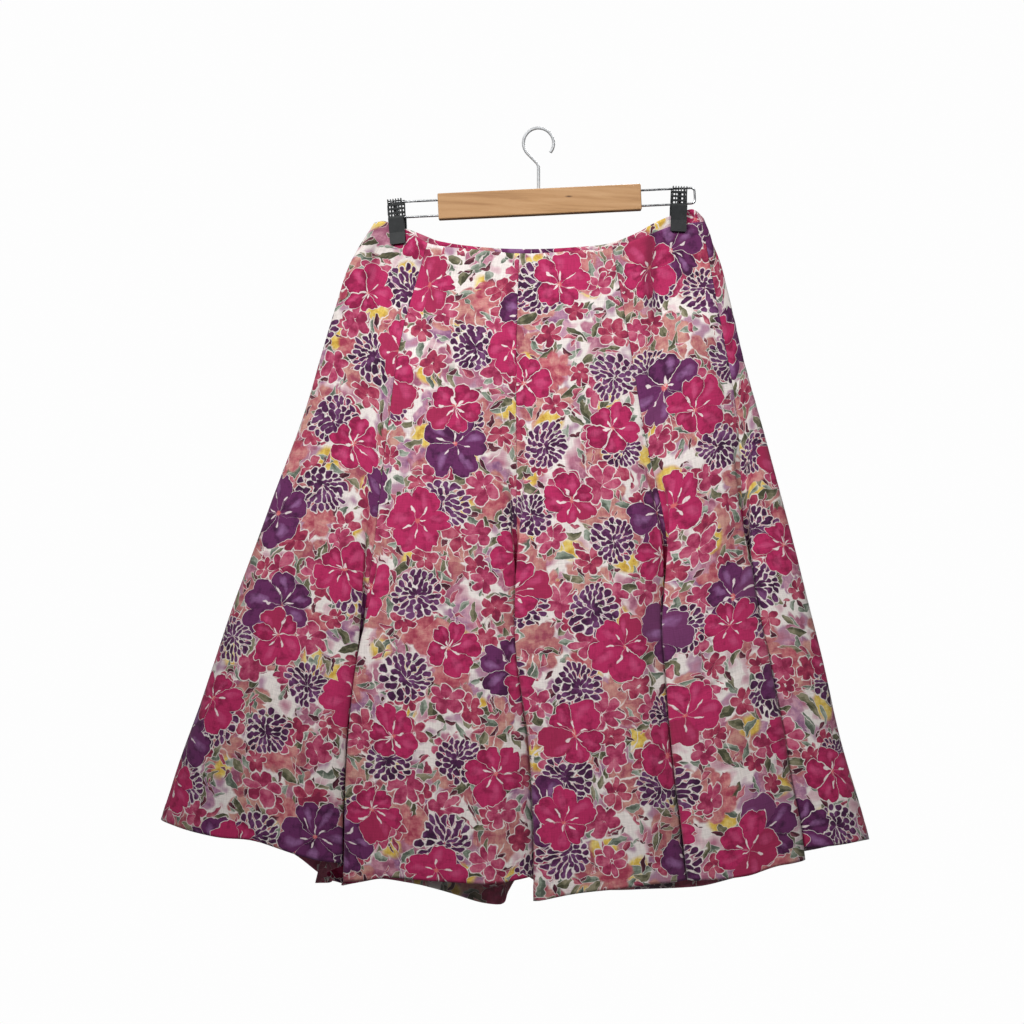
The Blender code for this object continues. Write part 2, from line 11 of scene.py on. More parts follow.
import bpy
import numpy as np
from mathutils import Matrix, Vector


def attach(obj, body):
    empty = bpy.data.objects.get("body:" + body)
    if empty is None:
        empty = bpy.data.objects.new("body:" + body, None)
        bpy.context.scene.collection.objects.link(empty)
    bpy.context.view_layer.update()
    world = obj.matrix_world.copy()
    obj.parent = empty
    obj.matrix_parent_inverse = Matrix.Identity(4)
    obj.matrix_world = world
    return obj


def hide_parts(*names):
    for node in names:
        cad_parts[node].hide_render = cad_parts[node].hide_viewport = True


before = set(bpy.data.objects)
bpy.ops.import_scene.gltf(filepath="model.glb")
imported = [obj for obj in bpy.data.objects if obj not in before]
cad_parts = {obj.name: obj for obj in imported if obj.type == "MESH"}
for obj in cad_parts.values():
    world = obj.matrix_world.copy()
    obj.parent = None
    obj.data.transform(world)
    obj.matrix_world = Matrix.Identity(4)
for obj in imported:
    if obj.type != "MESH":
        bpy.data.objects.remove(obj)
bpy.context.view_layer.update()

MM = 0.001
BODY = "root"

# -------- the cloth's sizes, as in its solids
CLOTH_SOLID, FACING_SOLID = 1.6 * MM, 1.0 * MM  # walls of the solids
CLOTH, FACING_CLOTH = 0.8 * MM, 0.7 * MM  # the real cloth, with its seam allowances pressed flat
FIT_GAP = 0.3 * MM
FACING_DOWN, FACING_FROM_FOLD = 0.06, 9 * MM
SKIRT_LENGTH = 730 * MM
PINCH_HALF_GAP = 1.8 * MM
FRONT, BACK = -1, 1

# The plan at shares of the skirt's length down: its two sides' x and how far front and back stand
# off from the middle.
SECTIONS = (
    (0.00, -191, 192, 16, 9),
    (0.07, -219, 208, 24, 15),
    (0.14, -234, 220, 31, 21),
    (0.30, -264, 248, 41, 30),
    (0.47, -306, 280, 50, 39),
    (0.64, -351, 312, 57, 47),
    (0.80, -390, 338, 63, 54),
    (1.00, -434, 375, 69, 61),
)
LENS_WAIST, LENS_END = 2.5, 0.6

# The waist edge: x, and the heights of its front and its back there.
WAIST_EDGE = (
    (-191, -108, -108),
    (-180, -105, -104),
    (-163, -111, -111),
    (-150, -117, -115),
    (-127, -132, -124),
    (-105, -137, -129),
    (-75, -140, -133),
    (-22, -145, -136),
    (40, -142, -134),
    (84, -138, -129),
    (115, -127, -117),
    (145, -114, -102),
    (162, -109, -96),
    (180, -107, -92),
    (194, -106, -106),
)

SEAM_LEVELS = (0.00, 0.12, 0.30, 0.45, 0.60, 0.80, 1.00)
Seam = namedtuple("Seam", "side x starts depth spread lean mouth before inside after")
SEAMS = (
    Seam(FRONT, (-127, -152, -172, -184, -198, -213, -217), 0.38, 36, 24, -8, -4, -832, -863, -852),
    Seam(FRONT, (-22, -25, -26, -27, -23, -8, -3), 0.24, 40, 14, 8, -2, -844, -862, -873),
    Seam(FRONT, (84, 99, 120, 143, 145, 155, 171), 0.26, 44, 20, 8, -2, -850, -862, -851),
    Seam(FRONT, (188, 203, 226, 235, 245, 274, 297), 0.28, 47, 16, 6, -1, -832, -832, -819),
    Seam(BACK, (111, 135, 160, 184, 206, 236, 262), 0.34, 36, 16, 0, 9, -845, -852, -862),
    Seam(BACK, (25, 18, 11, 3, -5, -12, -20), 0.26, 40, 14, 0, 44, -880, -858, -906),
    Seam(BACK, (-61, -86, -114, -139, -165, -203, -240), 0.34, 36, 18, 6, 12, -880, -866, -877),
    Seam(BACK, (-148, -179, -214, -247, -280, -332, -385), 0.44, 12, 8, 0, 14, -813, -806, -792),
)
MOUTH_AT_WAIST = 30
# Shares of a fold's length over which its mouth gets its own width and its corners leave the plan.
MOUTH_SETTLES, POCKET_OPENS = 0.5, 0.15
POCKET_GROWTH, POCKET_BOTTOM = 1.4, 1.05  # power of its deepening, and how far its bottom sags
FLUTE_GROWTH, FLUTE_ROUND = 1.2, 0.8  # powers of a gore's bulge, downwards and across

# hem is the hem's height at each eighth across a gore's face.
Gore = namedtuple("Gore", "name bulge hem")
GORES = (
    Gore("gore_front_left_side", 8, (-791, -793, -800, -806, -805, -816, -828)),
    Gore("gore_front_left", 13, (-848, -843, -845, -847, -849, -851, -848)),
    Gore("gore_front_right", 13, (-866, -861, -858, -856, -853, -851, -851)),
    Gore("gore_front_right_side", 10, (-849, -848, -846, -844, -839, -835, -834)),
    Gore("gore_back_right_side", 8, (-818, -816, -813, -820, -829, -836, -840)),
    Gore("gore_back_right", 13, (-874, -884, -887, -889, -891, -890, -885)),
    Gore("gore_back_left", 12, (-904, -898, -891, -885, -880, -875, -878)),
    Gore("gore_back_left_side", 10, (-864, -850, -839, -828, -824, -821, -817)),
)

# The flat cut of each gore, in their order: mm, mm and square metres, and where on the printed
# cloth it was cut from, in mm.
Cut = namedtuple("Cut", "wide long area print_x print_y")
CUTS = (
    Cut(379, 734, 0.1641, 130, 40),
    Cut(327, 727, 0.1468, 615, 390),
    Cut(292, 725, 0.1429, 1090, 120),
    Cut(254, 737, 0.1163, 1560, 520),
    Cut(333, 755, 0.1466, 2040, 260),
    Cut(365, 764, 0.1646, 2510, 80),
    Cut(315, 768, 0.1343, 3020, 470),
    Cut(223, 749, 0.1031, 3480, 200),
)

# The facing's place on the printed cloth, in mm.
FACING_PRINT = (260, 900)

POCKET_STEPS, WALL_STEPS, FACE_STEPS = 4, 6, 28
GORE_STEPS = 2 * (POCKET_STEPS + WALL_STEPS) + FACE_STEPS
FINE_STEPS = 2 * GORE_STEPS  # of the finer grid, across a gore
FINE_LEVELS = 221  # rows of the finer grid, from the waist edge to the hem
ROUNDING_PASSES = 2
RING_POINTS = 720

PIVOT_HEIGHT = 31.4 * MM
Clip = namedtuple("Clip", "foot_x yaw lean")
CLIPS = (
    Clip(-160.4 * MM, math.radians(-14), math.radians(-4.0)),
    Clip(160.1 * MM, math.radians(4), math.radians(1.8)),
)
PINCH_HALF_WIDTH, PINCH_FADE_X = 24 * MM, 18 * MM
PINCH_HEIGHT, PINCH_FADE_Z = 30 * MM, 120 * MM
PINCH_TURNED = 16 * MM
BAR_TILT = math.radians(-2.75)
KNOT = (34.6 * MM, -6.5 * MM, -78.0 * MM)

# -------- creases
# A crease is a soft trough, or a ridge where depth is negative, round the point that lies across
# and down mm from the middle of its gore's waist edge.  It runs turn degrees from straight down.
# Each gore has first those from the pull of a clip, then the long soft folds of its flute, and
# last short kinks.  A row is (across, down, turn, length, width, depth).
CREASES = {
    "gore_front_left_side": (
        (52, 88, 6, 90, 9, 1.8),
        (20, 96, -4, 110, 13, 1.5),
        (-28, 92, -14, 100, 12, 1.7),
        (86, 560, 0, 330, 26, 2.8),
        (30, 590, 3, 360, 34, -3.0),
        (-60, 560, -4, 340, 30, 2.4),
    ),
    "gore_front_left": (
        (-34, 70, 22, 80, 10, 1.4),
        (12, 520, 0, 380, 30, 2.4),
        (-62, 600, -3, 240, 20, 2.0),
        (66, 610, 4, 220, 18, -2.2),
        (84, 468, 78, 52, 8, 1.9),
        (-20, 330, 66, 90, 12, 1.3),
    ),
    "gore_front_right": (
        (-47, 572, -2, 260, 15, 3.2),
        (2, 540, 2, 300, 28, 2.0),
        (66, 500, 0, 300, 22, 2.8),
        (-70, 463, 98, 50, 8, -1.6),
        (30, 300, -58, 90, 14, 1.4),
    ),
    "gore_front_right_side": (
        (36, 84, -8, 90, 9, 1.8),
        (6, 92, 6, 100, 12, 1.5),
        (-16, 620, -6, 190, 12, 2.2),
        (42, 600, 5, 260, 20, 2.4),
        (-34, 418, 24, 70, 9, -2.3),
        (-16, 462, 14, 90, 9, -2.3),
        (-8, 522, -73, 96, 6, 2.0),
        (-20, 500, -8, 100, 8, 1.8),
        (40, 330, 62, 80, 12, 1.5),
    ),
    "gore_back_right_side": (
        (10, 95, 10, 110, 12, 1.8),
        (-120, 590, -4, 330, 28, 2.8),
        (20, 560, 4, 340, 30, 2.4),
        (90, 600, 6, 240, 20, -2.2),
        (30, 330, 60, 100, 12, 1.6),
    ),
    "gore_back_right": (
        (-90, 580, -4, 300, 24, 2.6),
        (-10, 540, 2, 360, 32, 2.2),
        (78, 600, 5, 260, 20, 2.8),
        (20, 300, 64, 100, 13, 1.6),
        (-40, 420, -60, 80, 10, 1.8),
    ),
    "gore_back_left": (
        (-70, 590, -3, 280, 22, 2.6),
        (8, 520, 1, 340, 30, -2.4),
        (80, 600, 5, 240, 18, 2.4),
        (-20, 360, -66, 90, 12, 1.6),
        (40, 470, 72, 70, 9, 1.8),
    ),
    "gore_back_left_side": (
        (44, 92, -8, 110, 12, 1.8),
        (0, 560, 0, 320, 26, 2.6),
        (62, 590, 4, 240, 20, 2.0),
        (10, 350, -62, 80, 11, 1.5),
    ),
}

# How the cloth rolls at each seam's mouth, in mm: how far it dips inwards before and after the
# mouth, how far it leans over the mouth on each side, and how far from the mouth it still dips.
Lip = namedtuple("Lip", "dip_before dip_after over_before over_after reach")
LIPS = (
    Lip(7.5, 0.5, 0.0, 4.0, 15),
    Lip(9.0, 0.0, 0.0, 5.5, 19),
    Lip(10.0, 0.0, 0.0, 7.5, 20),
    Lip(1.0, 8.5, 6.0, 0.0, 17),
    Lip(0.5, 8.0, 5.0, 0.0, 18),
    Lip(3.0, 3.0, 0.0, 0.0, 16),
    Lip(5.0, 1.0, 0.0, 5.0, 20),
    Lip(4.0, 2.0, 0.0, 2.0, 16),
)
LIP_LEAN_REACH = 8 * MM
LIP_GROWS = 0.35  # share of the length over which the roll grows from where its fold starts
LIP_FACE = 6  # fine columns from a lip to where the direction of its face is taken

PUCKER_REACH, PUCKER_HEIGHT = 16 * MM, 0.7 * MM
PUCKER_LONG, PUCKER_SHORT, PUCKER_CLEAR = 31 * MM, 19 * MM, 4 * MM
SEAM_FURROW, SEAM_FURROW_WIDTH = 0.9 * MM, 2.5 * MM
RIPPLES, RIPPLE_PITCH = 9, (45, 150)  # how many waves, and their length in mm
RIPPLE_HEIGHT, RIPPLE_EDGE = 1.0 * MM, 25 * MM
HELD_FLAT, HELD_FADE = 40 * MM, 140 * MM  # smooth this far below the waist, then uneven over this
HEM_TURNED, HEM_STEP, HEM_STEP_WIDTH = 16 * MM, 0.35 * MM, 2 * MM


# -------- the cloth's surface
def through(knots, values, at):
    """A smooth curve through table values: cubic between rows, with the slopes of the rows beside."""
    knots, values = np.asarray(knots, float), np.asarray(values, float)
    slopes = np.gradient(values, knots)
    row = np.clip(np.searchsorted(knots, at, side="right") - 1, 0, len(knots) - 2)
    step = knots[row + 1] - knots[row]
    t = (np.asarray(at, float) - knots[row]) / step
    start = (2 * t**3 - 3 * t**2 + 1) * values[row] + (t**3 - 2 * t**2 + t) * step * slopes[row]
    end = (3 * t**2 - 2 * t**3) * values[row + 1] + (t**3 - t**2) * step * slopes[row + 1]
    return start + end


def fade(distance, reach):
    """1 up to no distance, falling smoothly to 0 at reach."""
    t = np.clip(distance / reach, 0, 1)
    return 1 - t * t * (3 - 2 * t)


def bell(distance, width):
    """1 at no distance, falling away from it like a bell curve."""
    return np.exp(-((distance / width) ** 2))


def unit(vectors):
    """Vectors of length 1 along the last axis."""
    return vectors / np.linalg.norm(vectors, axis=-1, keepdims=True)


def pinch_at(x, below_edge):
    """How hard the clips press front and back together (0 to 1), and the yawed line they hold."""
    hold, line = np.zeros_like(x), np.zeros_like(x)
    height = fade(below_edge - PINCH_HEIGHT, PINCH_FADE_Z)
    for clip in CLIPS:
        off = x - clip.foot_x
        foot_y = -PIVOT_HEIGHT * math.sin(clip.lean) * math.sin(clip.yaw)
        one = fade(np.abs(off) - PINCH_HALF_WIDTH, PINCH_FADE_X) * height
        hold += one
        line += one * (foot_y + math.tan(clip.yaw) * np.clip(off, -PINCH_TURNED, PINCH_TURNED))
    return hold, line


def plan_ring(down):
    """The skirt's plan with no folds: x, y and length along it, from the left fold by the front."""
    knots, *columns = np.transpose(SECTIONS)
    left, right, front, back = (through(knots, column, down) * MM for column in columns)
    turn = np.linspace(0, 2 * math.pi, RING_POINTS + 1)
    across = -np.cos(turn)
    side = np.where(turn < math.pi, FRONT, BACK)
    stand_off = np.where(side == FRONT, front, back)
    lens = np.maximum(1 - np.abs(across) ** LENS_WAIST, 0) ** LENS_END
    x = (left + right) / 2 + (right - left) / 2 * across
    hold, line = pinch_at(x, down * SKIRT_LENGTH)
    y = side * (stand_off * lens * (1 - hold) + PINCH_HALF_GAP * hold) + line
    length = np.concatenate([[0], np.cumsum(np.hypot(np.diff(x), np.diff(y)))])
    return x, y, length


def on_ring(ring, at):
    """Points of a plan ring at lengths along it, and the outward directions there."""
    x, y, length = ring
    around = length[-1]
    at = np.mod(at, around)
    point = np.stack([np.interp(at, length, x), np.interp(at, length, y)], -1)
    reach = 4 * MM
    ahead, behind = np.mod(at + reach, around), np.mod(at - reach, around)
    step = [np.interp(ahead, length, c) - np.interp(behind, length, c) for c in (x, y)]
    along = unit(np.stack(step, -1))
    return point, np.stack([along[..., 1], -along[..., 0]], -1)


def seam_place(ring, seam, down):
    """Length along the ring where a seam's fold opens."""
    x, _, length = ring
    half = RING_POINTS // 2
    target = through(SEAM_LEVELS, seam.x, down) * MM
    if seam.side == FRONT:
        return np.interp(target, x[: half + 1], length[: half + 1])
    return np.interp(target, x[half:][::-1], length[half:][::-1])


def fold_of(ring, seam, down):
    """The mouth's place and half width, and the pocket's three corners: before, bottom, after."""
    place = seam_place(ring, seam, down)
    grown = np.clip((down - seam.starts) / (1 - seam.starts), 0, 1)
    depth = seam.depth * MM * math.sin(math.pi / 2 * grown) ** POCKET_GROWTH
    open_share = fade(grown, MOUTH_SETTLES)
    half_mouth = (seam.mouth + (MOUTH_AT_WAIST - seam.mouth) * open_share) / 2 * MM
    spread = half_mouth / 2 + (seam.spread * MM - half_mouth / 2) * (1 - fade(grown, 1))
    (middle,), (outward,) = on_ring(ring, np.array([place]))
    ends, _ = on_ring(ring, np.array([place - spread, place + spread]))
    along = np.array([-outward[1], outward[0]])
    inward = (along * seam.lean / seam.depth - outward) * depth
    along = along * spread
    share = fade(grown, POCKET_OPENS)  # the pocket's corners lie on the plan where the fold starts
    before = ends[0] * share + (middle + inward - along) * (1 - share)
    after = ends[1] * share + (middle + inward + along) * (1 - share)
    return place, half_mouth, (before, middle + inward * POCKET_BOTTOM, after)


def straight(start, end, steps):
    """Evenly spaced points from start up to, but not, end."""
    share = (np.arange(steps) / steps)[:, None]
    return start + (end - start) * share


def section(down):
    """The whole plan of the cloth's middle at one level, folds included: gore by gore."""
    ring = plan_ring(down)
    around = ring[2][-1]
    folds = [fold_of(ring, seam, down) for seam in SEAMS]
    rows = []
    for i, gore in enumerate(GORES):
        start, half_start, pocket_start = folds[i - 1]
        end, half_end, pocket_end = folds[i]
        if i == 0:
            start -= around
        at = np.linspace(start + half_start, end - half_end, FACE_STEPS + 1)
        face, outward = on_ring(ring, at)
        flute = np.sin(np.linspace(0, math.pi, FACE_STEPS + 1)) ** FLUTE_ROUND
        face = face + outward * (gore.bulge * MM * down**FLUTE_GROWTH * flute)[:, None]
        rows += [
            straight(pocket_start[1], pocket_start[2], POCKET_STEPS),
            straight(pocket_start[2], face[0], WALL_STEPS),
            face[:-1],
            straight(face[-1], pocket_end[0], WALL_STEPS),
            straight(pocket_end[0], pocket_end[1], POCKET_STEPS),
        ]
    return rounded(np.concatenate(rows))


def rounded(points):
    """Points of a closed row with their corners rounded: each is averaged with its neighbours."""
    for _ in range(ROUNDING_PASSES):
        points = (np.roll(points, 1, 0) + 2 * points + np.roll(points, -1, 0)) / 4
    return points


def hem_heights():
    """Height of the hem at every point round the skirt."""
    knots, heights = [], []
    lip = POCKET_STEPS + WALL_STEPS
    for i, gore in enumerate(GORES):
        face = np.linspace(lip, GORE_STEPS - lip, len(gore.hem) + 2)
        knots += [i * GORE_STEPS, *(i * GORE_STEPS + face)]
        heights += [SEAMS[i - 1].inside, SEAMS[i - 1].after, *gore.hem, SEAMS[i].before]
    knots.append(len(GORES) * GORE_STEPS)
    heights.append(heights[0])
    heights = np.interp(np.arange(len(GORES) * GORE_STEPS), knots, heights) * MM
    return rounded(heights)


def waist_heights(row):
    """Height of the waist edge at every point of the top row."""
    x, front, back = np.transpose(WAIST_EDGE)
    left, right = np.argmin(row[:, 0]), np.argmax(row[:, 0])
    on_front = (np.arange(len(row)) - left) % len(row) < (right - left) % len(row)
    at = np.clip(row[:, 0] / MM, x[0], x[-1])
    return rounded(np.where(on_front, through(x, front, at), through(x, back, at)) * MM)


def twice_as_fine(row_points):
    """A closed row with a point more between each two, on the cubic through the four round it."""
    before, after = np.roll(row_points, 1, 1), np.roll(row_points, -1, 1)
    beyond = np.roll(row_points, -2, 1)
    between = (9 * (row_points + after) - before - beyond) / 16
    rows, columns = row_points.shape[:2]
    return np.stack([row_points, between], 2).reshape(rows, 2 * columns, 3)


def outward(points):
    """Outward unit normals of a surface (level, point round the skirt, xyz)."""
    around = np.roll(points, -1, 1) - np.roll(points, 1, 1)
    down = np.gradient(points, axis=0)
    return unit(np.cross(down, around))


def plain_skirt(levels):
    """Middle of the cloth with no creases, on the finer grid: (level, point round it, xyz)."""
    plans = np.stack([section(down) for down in levels])
    top, hem = waist_heights(plans[0]), hem_heights()
    points = np.concatenate([plans, (top + (hem - top) * levels[:, None])[..., None]], -1)
    return twice_as_fine(points)


# -------- the cloth's flat cut and creases
def gore_columns(i):
    """Which points round the finer skirt belong to gore i, both edges included."""
    return (np.arange(FINE_STEPS + 1) + i * FINE_STEPS) % (len(GORES) * FINE_STEPS)


def lengths(grid, axis):
    """Length along the cloth from the first row or column to each point."""
    steps = np.linalg.norm(np.diff(grid, axis=axis), axis=-1)
    start = np.zeros_like(np.take(steps, [0], axis=axis))
    return np.concatenate([start, np.cumsum(steps, axis=axis)], axis=axis)


def flat_cut(grid):
    """Where a gore's points lie on the flat cloth: across from its middle line, and down."""
    across = lengths(grid, 1)
    across -= across[:, [FINE_STEPS // 2]]
    down = lengths(grid, 0)
    middle = down[:, [FINE_STEPS // 2]]
    return np.stack([across, middle + (down - middle) * 0.5], -1)


def crease_relief(cut, gore):
    """How far creases move the cloth inwards: a bell curve across each, fading to both its ends."""
    relief = np.zeros(cut.shape[:2])
    for to_side, below_edge, degrees, length, width, depth in CREASES[gore.name]:
        turn = math.radians(degrees)
        off = cut - np.array([to_side, below_edge]) * MM
        along = off[..., 0] * math.sin(turn) + off[..., 1] * math.cos(turn)
        aside = off[..., 0] * math.cos(turn) - off[..., 1] * math.sin(turn)
        trough = bell(aside, width * MM / 2)
        relief += depth * MM * trough * fade(np.abs(along), length * MM / 2)
    return relief


def ripple_relief(cut, seed):
    """Slow unevenness: a few long waves of random length and direction, mostly upright."""
    draw = np.random.default_rng(seed)
    relief = np.zeros(cut.shape[:2])
    for _ in range(RIPPLES):
        pitch = draw.uniform(*RIPPLE_PITCH) * MM
        turn = draw.normal(0, 0.5)
        wave = (cut[..., 0] * math.cos(turn) + cut[..., 1] * math.sin(turn) * 0.6) / pitch
        relief += np.sin(2 * math.pi * (wave + draw.uniform())) * draw.uniform(0.2, 0.5)
    return relief * RIPPLE_HEIGHT


def pucker_relief(from_seam, down, seed):
    """Short slanting puckers beside a seam: two waves down it that die away from it."""
    draw = np.random.default_rng(seed)
    phases = draw.uniform(0, 1, 3)
    along = down * SKIRT_LENGTH + from_seam * 0.5
    waves = np.sin(2 * math.pi * (along / PUCKER_LONG + phases[0]))
    waves += 0.8 * np.sin(2 * math.pi * (along / PUCKER_SHORT + phases[1]))
    uneven = 0.55 + 0.45 * np.sin(2 * math.pi * (down * 2.3 + phases[2]))
    grown = 1 - bell(from_seam, PUCKER_CLEAR)
    return waves * uneven * grown * np.exp(-from_seam / PUCKER_REACH) * PUCKER_HEIGHT


def lip_roll(grid, normals, across, down, i):
    """How gore i's cloth moves at the mouths of its two folds: it dips inwards and leans over the
    mouth, both dying away exponentially from it."""
    lip = 2 * (POCKET_STEPS + WALL_STEPS)
    before, after = LIPS[i], LIPS[i - 1]
    sides = (
        (lip, -1, SEAMS[i - 1], after.dip_after, after.over_after, after.reach),
        (FINE_STEPS - lip, 1, SEAMS[i], before.dip_before, before.over_before, before.reach),
    )
    moved = np.zeros_like(grid)
    for column, way, seam, dip, over, reach in sides:
        away = np.abs(across - across[:, [column]])
        face = normals[:, [column - LIP_FACE * way]]
        to_mouth = way * np.cross((0, 0, 1), face)
        grown = 1 - fade(down - seam.starts, LIP_GROWS)
        dip = dip * MM * grown * np.exp(-away / (reach * MM))
        over = over * MM * grown * np.exp(-away / LIP_LEAN_REACH)
        moved += to_mouth * over[..., None] - face * dip[..., None]
    return moved


def crease_skirt(points, levels):
    """The skirt's surface with all its creases, gore by gore, and each gore's flat cut."""
    normals = outward(points)
    down = levels[:, None]
    grids = []
    for i, gore in enumerate(GORES):
        columns = gore_columns(i)
        grid = points[:, columns]
        cut = flat_cut(grid)
        across = cut[..., 0]
        from_start, from_end = across - across[:, :1], across[:, -1:] - across
        nearest = np.minimum(from_start, from_end)
        inner = 1 - fade(nearest, RIPPLE_EDGE)
        free = 1 - fade(down * SKIRT_LENGTH - HELD_FLAT, HELD_FADE)
        relief = (crease_relief(cut, gore) + ripple_relief(cut, i) * free) * inner
        relief += pucker_relief(from_start, down, (i - 1) % len(GORES)) * free
        relief += pucker_relief(from_end, down, i) * free
        relief += SEAM_FURROW * bell(nearest, SEAM_FURROW_WIDTH) * free
        to_hem = cut[-1:, :, 1] - cut[..., 1]
        relief -= HEM_STEP * fade(to_hem - HEM_TURNED, HEM_STEP_WIDTH)
        rolled = lip_roll(grid, normals[:, columns], across, down, i) * inner[..., None]
        grids.append((grid + rolled - normals[:, columns] * relief[..., None], cut))
    return grids


def parted(grid):
    """A panel's points with both side edges drawn back by half the gap that a seam leaves."""
    grid = grid.copy()
    for edge, beside in ((0, 1), (-1, -2)):
        step = grid[:, beside] - grid[:, edge]
        grid[:, edge] += unit(step) * FIT_GAP / 2
    return grid


# -------- meshes
def cloth_piece(name, grid, cut, print_at, thickness, materials):
    """A sheet through a grid of middle points, thickened both ways, with its flat cut as UVs."""
    rows, columns = grid.shape[:2]
    at = np.arange(rows * columns).reshape(rows, columns)
    quads = np.stack([at[:-1, :-1], at[1:, :-1], at[1:, 1:], at[:-1, 1:]], -1).reshape(-1, 4)
    mesh = bpy.data.meshes.new(name)
    mesh.from_pydata(grid.reshape(-1, 3), [], quads)
    mesh.shade_smooth()
    flat = (cut.reshape(-1, 2) * (1, -1) + np.array(print_at) * MM)[quads.ravel()]
    mesh.uv_layers.new(name=PRINT_UV).data.foreach_set("uv", flat.ravel())
    for made in materials:
        mesh.materials.append(made)
    piece = bpy.data.objects.new(name, mesh)
    bpy.context.scene.collection.objects.link(piece)
    wall = piece.modifiers.new("cloth_thickness", "SOLIDIFY")
    wall.thickness = thickness
    wall.offset = 0
    wall.material_offset = len(materials) - 1
    wall.use_even_offset = False
    return piece


# -------- materials
PRINT_UV = "print_cut"
MATH, VECTOR = "ShaderNodeMath", "ShaderNodeVectorMath"
SIGNS = {"+": "ADD", "-": "SUBTRACT", "*": "MULTIPLY", "/": "DIVIDE", "^": "POWER", "*+": "MULTIPLY_ADD"}


def linear(colour):
    """An sRGB hex colour as linear RGBA."""
    channels = [int(colour[i : i + 2], 16) / 255 for i in (1, 3, 5)]
    return (*(c / 12.92 if c <= 0.04045 else ((c + 0.055) / 1.055) ** 2.4 for c in channels), 1)


def feed(tree, node, feeds):
    """Gives a node its inputs, by order or by name: sockets to link, values or hex colours."""
    for key, value in feeds.items() if isinstance(feeds, dict) else enumerate(feeds):
        if isinstance(value, bpy.types.NodeSocket):
            tree.links.new(value, node.inputs[key])
        else:
            node.inputs[key].default_value = linear(value) if isinstance(value, str) else value


def add(tree, kind, feeds=(), out=0, **settings):
    """Adds a node with its settings and inputs.  The result is one of its outputs, or the node
    itself where out is None."""
    made = tree.nodes.new(kind)
    for name, value in settings.items():
        setattr(made, name, value)
    feed(tree, made, feeds)
    return made if out is None else made.outputs[out]


def work_out(tree, known, *steps):
    """Adds a Math node for each step (result, operation, inputs): an input that is text names an
    earlier result, and the result of an operation that ends in ! is clamped to 0..1."""
    for result, operation, *inputs in steps:
        feeds = [known[i] if isinstance(i, str) else i for i in inputs]
        sign = operation.rstrip("!")
        known[result] = add(
            tree, MATH, feeds, operation=SIGNS.get(sign, sign), use_clamp=sign != operation
        )
    return known


def scaled(tree, place, by):
    """A place scaled by a number, or along each axis by three."""
    if isinstance(by, tuple):
        return add(tree, VECTOR, [place, by], operation="MULTIPLY")
    return add(tree, VECTOR, {0: place, "Scale": by}, operation="SCALE")


def noise(tree, place, scale=1, detail=0, out=0, **more):
    """Noise at a place: its height, or its colour where out is 1."""
    feeds = {"Vector": place, "Scale": scale, "Detail": detail, **more}
    return add(tree, "ShaderNodeTexNoise", feeds, out=out)


def mixed(tree, share, below, above, **settings):
    """One colour laid over another by share."""
    feeds = {0: share, 6: below, 7: above}
    return add(tree, "ShaderNodeMix", feeds, out=2, data_type="RGBA", **settings)


def bumped(tree, height, strength, distance):
    """Which way a surface faces where a height raises it by up to distance."""
    feeds = {"Strength": strength, "Distance": distance, "Height": height}
    return add(tree, "ShaderNodeBump", feeds)


def ramp(tree, value, stops):
    """Colours along a value: stops are (place, hex colour)."""
    made = add(tree, "ShaderNodeValToRGB", [value], out=None)
    elements = made.color_ramp.elements
    while len(elements) < len(stops):
        elements.new(1)
    for element, (place, colour) in zip(elements, stops):
        element.position = place
        element.color = linear(colour)
    return made.outputs[0]


def new_material(name):
    """A material with only its Principled shader, its node tree and that shader."""
    made = bpy.data.materials.new(name)
    made.use_nodes = True
    return made, made.node_tree, made.node_tree.nodes["Principled BSDF"]


# -------- the print
# A motif of the print, in mm.  One stands in each cell of a grid of that spacing, but only in a
# share of them, and x, y and turn shift and turn the grid.  scatter is how freely the cells stray,
# and vary how much smaller some of the motifs are.  Their colours run from dark to light.
Motif = namedtuple("Motif", "name spacing scatter share x y turn size vary colours")
GROUND = "#e2d9d4"
STEMS = "#ddd3cd"
OUTLINE = 0.6  # the pale line that the printer leaves round each motif
EDGE = 0.45  # how far a motif's edge bleeds
WET_EDGE, PATCH_EDGE, LEAF_OUTLINE = 3.0, 5.0, 0.4
PETALS, THREADS, LOBES = 5, 6, 7  # of a big flower, of its heart and of a bloom
SHADES = (0.25, 0.5, 0.8)  # where a motif's colours lie along its tone

# The washes of the ground along a wide noise, and the waves in which the print wanders: how long
# and how far, in mm.
WASHES = (
    (0.33, "#ae6f84"), (0.43, "#d6bbbe"), (0.46, GROUND),
    (0.54, GROUND), (0.60, "#ab869b"), (0.70, "#ac6d80"),
)
WANDERS = ((2.6, 0.5), (9, 3.0), (42, 10.0))

# These have a fourth colour, which is that of the odd petal; their third is a sheen.
BIG_FLOWERS = (
    Motif("purple_flower", 128, 0.36, 0.50, 531, 77, -20, 45, 0.14, "#42153c #642859 #916292 #6f3560"),
    Motif("magenta_flower", 112, 0.36, 0.90, 0, 0, 28, 40, 0.18, "#861641 #b0275a #c04874 #9a264b"),
)
BLOOMS = (
    Motif("mauve_bloom", 84, 0.70, 0.85, 65, 210, 10, 30, 0.3, "#82547a #a27590 #c497a6"),
    Motif("dusty_bloom", 58, 0.75, 0.80, 141, 507, 33, 24, 0.35, "#8e4e66 #a86a80 #c48f9d"),
    Motif("salmon_bloom", 80, 0.50, 0.95, 210, 330, 40, 41, 0.2, "#964456 #b06c6c #c49386"),
)
HIGH_BLOOMS = (
    Motif("coral_bloom", 104, 0.60, 0.75, 380, 30, 64, 30, 0.3, "#9c384e #b56068 #cb8f88"),
)
